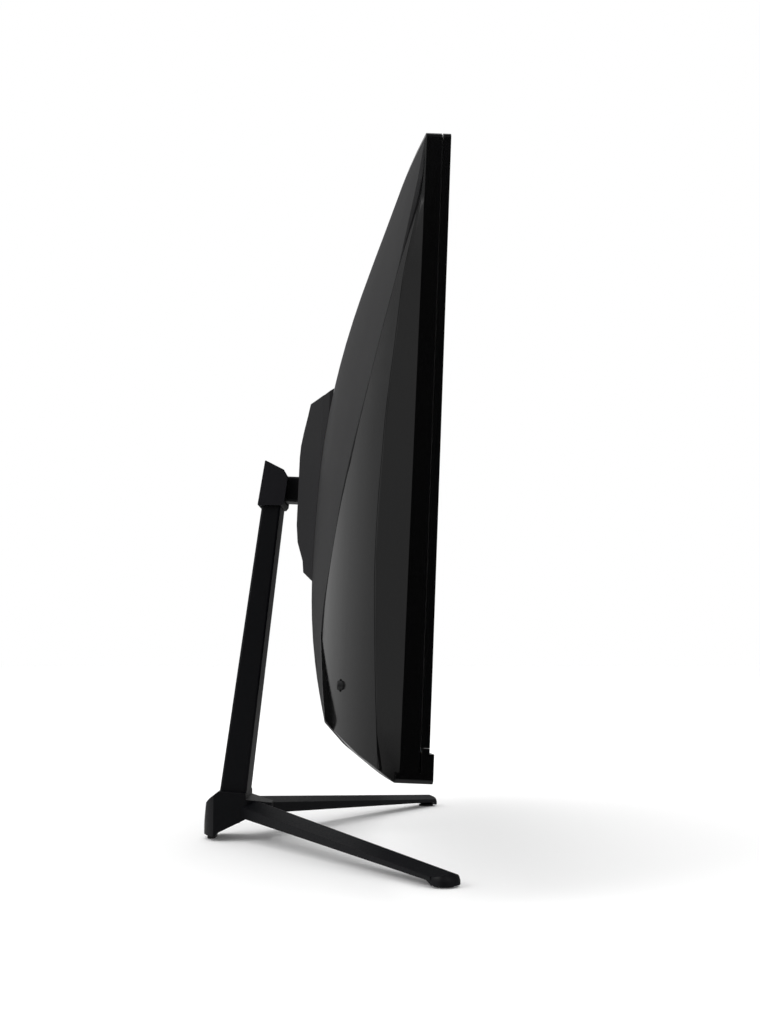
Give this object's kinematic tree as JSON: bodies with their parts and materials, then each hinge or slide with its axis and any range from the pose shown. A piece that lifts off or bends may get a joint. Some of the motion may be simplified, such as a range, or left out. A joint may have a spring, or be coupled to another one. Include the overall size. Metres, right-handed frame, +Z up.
{
  "type": "computer monitor",
  "caption": "Curved desktop monitor with tilting head, textured and glossy rear shell, slim leaning column, V-shaped foot and a menu stick.",
  "frame": {"origin": "on the desk, under the centre of the object's box", "axes": "-Y out of the screen, +Y to the rear, +X to the viewer's right, +Z up"},
  "size_m": [0.612, 0.1828, 0.4345],
  "materials": {
    "gloss_shell": "polished black moulding",
    "wing_gloss": "smooth black moulding",
    "textured_shell": "fine spark texture",
    "screen_glass": "anti-glare matte",
    "optical_film": "satin film",
    "clear_acrylic": "clear acrylic",
    "mould_plastic": "moulded",
    "sheet_steel": "zinc plated",
    "screw_steel": "black zinc",
    "brass_insert": "machined",
    "socket_metal": "nickel plated",
    "socket_plastic": "moulded",
    "circuit_board": "solder mask",
    "led_phosphor": "phosphor cap",
    "heatsink_metal": "anodised",
    "control_plastic": "satin",
    "stand_paint": "satin black",
    "foot_rubber": "moulded"
  },
  "bodies": {
    "stand": {"column": "stand_paint", "head_cap": "stand_paint", "hinge_bracket": "sheet_steel", "tilt_shaft": "screw_steel", "shaft_nut": "screw_steel", "friction_washers": "screw_steel", "bracket_bolts": "screw_steel", "leg_left": "stand_paint", "leg_right": "stand_paint", "base_hub": "stand_paint", "base_bolts": "screw_steel", "rubber_feet": "foot_rubber"},
    "head": {"middle_frame": "gloss_shell", "front_bezel": "gloss_shell", "front_chin": "gloss_shell", "edge_trims": "gloss_shell", "wing_left": "wing_gloss", "wing_right": "wing_gloss", "rear_cover": "textured_shell", "mount_cover": "textured_shell", "lcd_panel": "screen_glass", "prism_sheet": "optical_film", "diffuser_sheet": "optical_film", "reflector_sheet": "optical_film", "light_guide": "clear_acrylic", "panel_mould": "mould_plastic", "joystick_housing": "mould_plastic", "panel_cable": "mould_plastic", "panel_tray": "sheet_steel", "mount_bracket": "sheet_steel", "mount_plate": "sheet_steel", "mount_receiver": "sheet_steel", "case_screws": "screw_steel", "bracket_screws": "screw_steel", "plate_bolts": "screw_steel", "release_spring": "screw_steel", "case_posts": "screw_steel", "board_standoffs": "screw_steel", "vesa_inserts": "brass_insert", "hdmi_sockets": "socket_metal", "displayport_socket": "socket_metal", "audio_socket": "socket_plastic", "dc_socket": "socket_plastic", "spring_seat": "socket_plastic", "main_board": "circuit_board", "driver_board": "circuit_board", "timing_board": "circuit_board", "joystick_board": "circuit_board", "led_strip": "circuit_board", "led_row": "led_phosphor", "heatsink": "heatsink_metal", "neck": "stand_paint"},
    "latch": {"release_latch": "control_plastic"},
    "stick_ring": {"joystick_ring": "control_plastic"},
    "stick_cup": {"joystick_cup": "control_plastic"},
    "stick_cap": {"joystick_cap": "control_plastic"}
  },
  "joints": [
    {"name": "tilt", "type": "hinge", "parent": "stand", "child": "head", "pos_m": [0, 0.0414, 0.2644], "axis": [-1, 0, 0], "range_deg": [-2.7, 17.3]},
    {"name": "release_slide", "type": "slide", "parent": "head", "child": "latch", "axis": [0, 0.0394, -0.9992], "range_m": [0, 0.0025], "stiffness_N_per_m": 600, "springref_m": -0.002, "deforming": ["release_spring"]},
    {"name": "stick_updown", "type": "hinge", "parent": "head", "child": "stick_ring", "pos_m": [-0.249, -0.03142, 0.11899], "axis": [1, 0, 0], "range_deg": [-3.5, 3.5], "stiffness_Nm_per_rad": 0.05},
    {"name": "stick_sideways", "type": "hinge", "parent": "stick_ring", "child": "stick_cup", "pos_m": [-0.249, -0.03142, 0.11899], "axis": [0, -0.0394, 0.9992], "range_deg": [-3.5, 3.5], "stiffness_Nm_per_rad": 0.05},
    {"name": "stick_press", "type": "slide", "parent": "stick_cup", "child": "stick_cap", "axis": [0, -0.9992, -0.0394], "range_m": [0, 0.0006], "stiffness_N_per_m": 2000, "springref_m": -0.0003}
  ]
}
